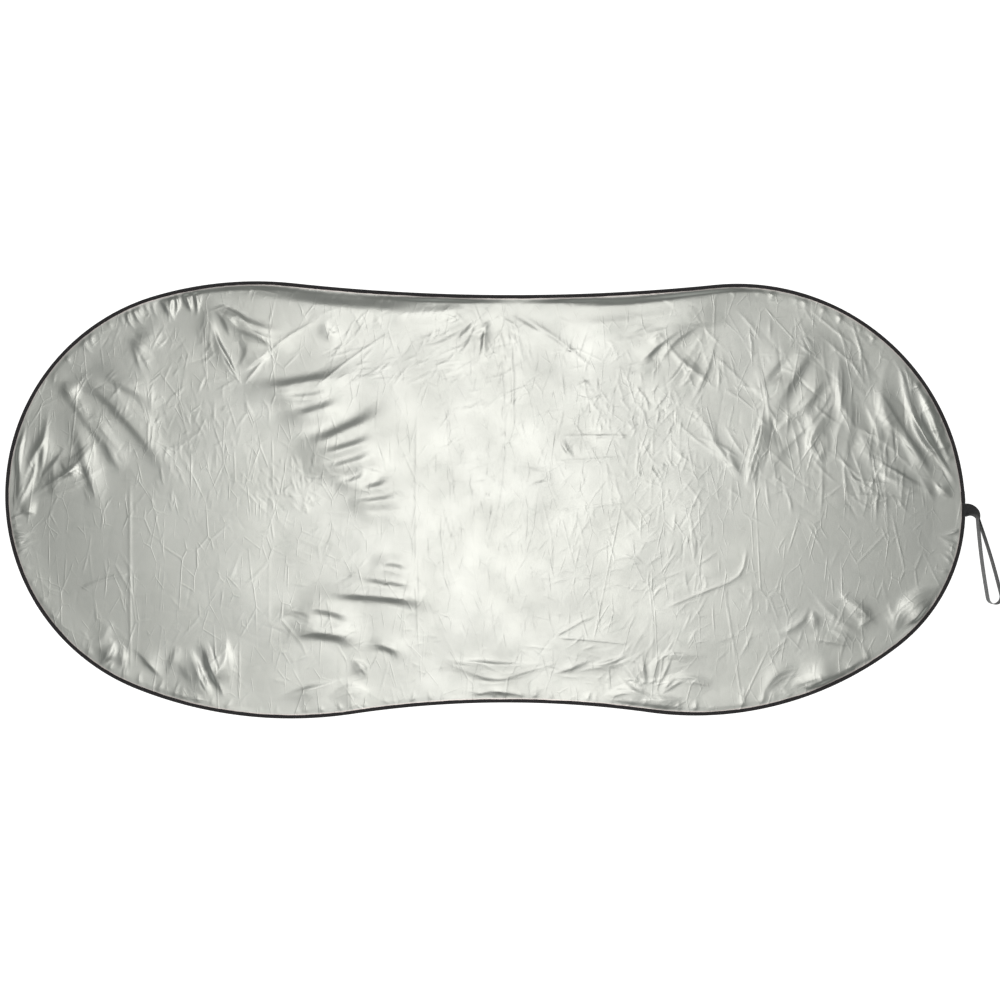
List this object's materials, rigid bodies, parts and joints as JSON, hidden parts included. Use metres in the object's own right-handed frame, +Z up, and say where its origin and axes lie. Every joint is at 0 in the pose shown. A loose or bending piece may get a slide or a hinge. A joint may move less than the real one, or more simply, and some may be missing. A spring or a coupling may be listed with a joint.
{
  "type": "collapsible reflector panel",
  "caption": "Peanut-shaped pop-up reflector panel: silver and white cloths on a taped spring-steel hoop, with an elastic storage loop.",
  "frame": {"origin": "on the surface the panel lies on, under the middle of the box around the laid-out panel and its storage loop", "axes": "+X along the panel's length towards the end with the storage loop, +Y across it towards the flatter long edge, +Z up out of the reflective face"},
  "size_m": [1.5033, 0.6607, 0.0204],
  "materials": {
    "spring_steel": "rolled strip, blued",
    "ferrule": "zinc plated, crimped",
    "edge_tape": "woven black polyester binding tape",
    "thread": "black polyester sewing thread",
    "silver_cloth": "silver-coated taffeta, satin",
    "white_cloth": "white polyester taffeta, matt",
    "elastic": "woven black elastic, ribbed"
  },
  "bodies": {
    "left_lobe": {"frame_strip_left": "spring_steel", "edge_tape_left": "edge_tape", "tape_seam_left": "thread", "reflective_cloth_left": "silver_cloth", "backing_cloth_left": "white_cloth"},
    "waist_1": {"frame_strip_waist_1": "spring_steel", "edge_tape_waist_1": "edge_tape", "tape_seam_waist_1": "thread", "reflective_cloth_waist_1": "silver_cloth", "backing_cloth_waist_1": "white_cloth"},
    "waist_2": {"frame_strip_waist_2": "spring_steel", "edge_tape_waist_2": "edge_tape", "tape_seam_waist_2": "thread", "reflective_cloth_waist_2": "silver_cloth", "backing_cloth_waist_2": "white_cloth"},
    "waist_3": {"frame_strip_waist_3": "spring_steel", "edge_tape_waist_3": "edge_tape", "tape_seam_waist_3": "thread", "reflective_cloth_waist_3": "silver_cloth", "backing_cloth_waist_3": "white_cloth"},
    "waist_4": {"frame_strip_waist_4": "spring_steel", "edge_tape_waist_4": "edge_tape", "tape_seam_waist_4": "thread", "reflective_cloth_waist_4": "silver_cloth", "backing_cloth_waist_4": "white_cloth"},
    "waist_5": {"frame_strip_waist_5": "spring_steel", "edge_tape_waist_5": "edge_tape", "tape_seam_waist_5": "thread", "reflective_cloth_waist_5": "silver_cloth", "backing_cloth_waist_5": "white_cloth"},
    "right_lobe": {"frame_strip_right": "spring_steel", "edge_tape_right": "edge_tape", "tape_seam_right": "thread", "reflective_cloth_right": "silver_cloth", "backing_cloth_right": "white_cloth", "strip_ferrule": "ferrule", "edge_tape_lap": "edge_tape", "loop_tab": "elastic", "loop_bar_tacks": "thread"},
    "storage_loop": {"storage_loop": "elastic"}
  },
  "joints": [
    {"name": "fold_1", "type": "hinge", "parent": "left_lobe", "child": "waist_1", "pos_m": [-0.1083, 0, 0.004], "axis": [0, -1, 0], "range_deg": [0, 30], "stiffness_Nm_per_rad": 6},
    {"name": "fold_2", "type": "hinge", "parent": "waist_1", "child": "waist_2", "pos_m": [-0.0763, 0, 0.004], "axis": [0, -1, 0], "range_deg": [0, 30], "stiffness_Nm_per_rad": 6},
    {"name": "fold_3", "type": "hinge", "parent": "waist_2", "child": "waist_3", "pos_m": [-0.0443, 0, 0.004], "axis": [0, -1, 0], "range_deg": [0, 30], "stiffness_Nm_per_rad": 6},
    {"name": "fold_4", "type": "hinge", "parent": "waist_3", "child": "waist_4", "pos_m": [-0.0123, 0, 0.004], "axis": [0, -1, 0], "range_deg": [0, 30], "stiffness_Nm_per_rad": 6},
    {"name": "fold_5", "type": "hinge", "parent": "waist_4", "child": "waist_5", "pos_m": [0.0197, 0, 0.004], "axis": [0, -1, 0], "range_deg": [0, 30], "stiffness_Nm_per_rad": 6},
    {"name": "fold_6", "type": "hinge", "parent": "waist_5", "child": "right_lobe", "pos_m": [0.0517, 0, 0.004], "axis": [0, -1, 0], "range_deg": [0, 30], "stiffness_Nm_per_rad": 6},
    {"name": "loop_swing", "type": "hinge", "parent": "right_lobe", "child": "storage_loop", "pos_m": [0.6997, -0.016, 0.006], "axis": [0, -1, 0], "range_deg": [0, 120]}
  ],
  "couplings": [
    {"joint": "fold_2", "follows": "fold_1", "ratio": 1},
    {"joint": "fold_3", "follows": "fold_1", "ratio": 1},
    {"joint": "fold_4", "follows": "fold_1", "ratio": 1},
    {"joint": "fold_5", "follows": "fold_1", "ratio": 1},
    {"joint": "fold_6", "follows": "fold_1", "ratio": 1}
  ]
}
